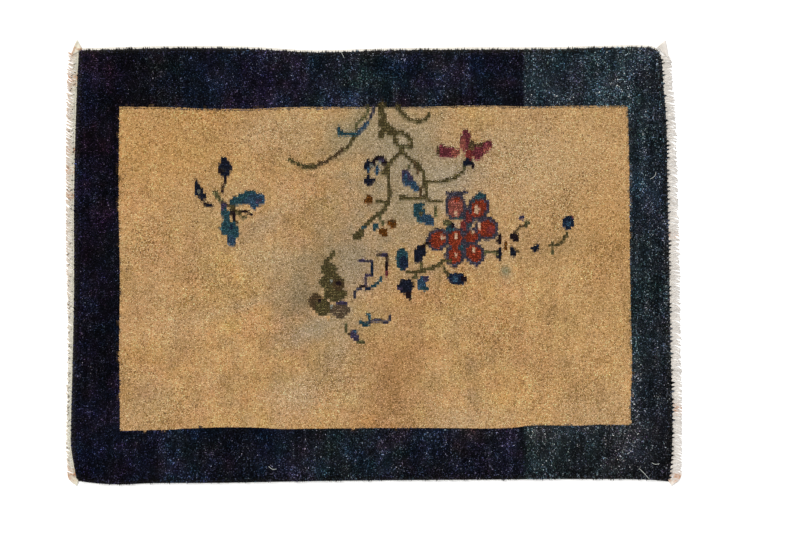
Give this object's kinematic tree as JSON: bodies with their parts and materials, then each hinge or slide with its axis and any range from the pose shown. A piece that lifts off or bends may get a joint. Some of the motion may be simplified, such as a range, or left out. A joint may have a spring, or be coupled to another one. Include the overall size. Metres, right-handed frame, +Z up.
{
  "type": "peking rug",
  "caption": "Small hand-knotted wool rug lying flat, with a dark border, a plain field with flower sprays, and short cotton fringes.",
  "frame": {"origin": "on the floor, at the middle of the length over the fringes and of the width over the corner tufts", "axes": "+X along the warps, from one fringe to the other; +Y across the warps, to the edge where the branches start; +Z up out of the pile"},
  "size_m": [0.882, 0.64, 0.0107],
  "materials": {
    "wool_pile": "cut wool pile, camel field inside a navy border",
    "cotton_warp": "plied undyed cotton, a little stained"
  },
  "bodies": {
    "root": {"rug": "wool_pile", "fringe_left": "cotton_warp", "fringe_right": "cotton_warp"}
  },
  "joints": []
}
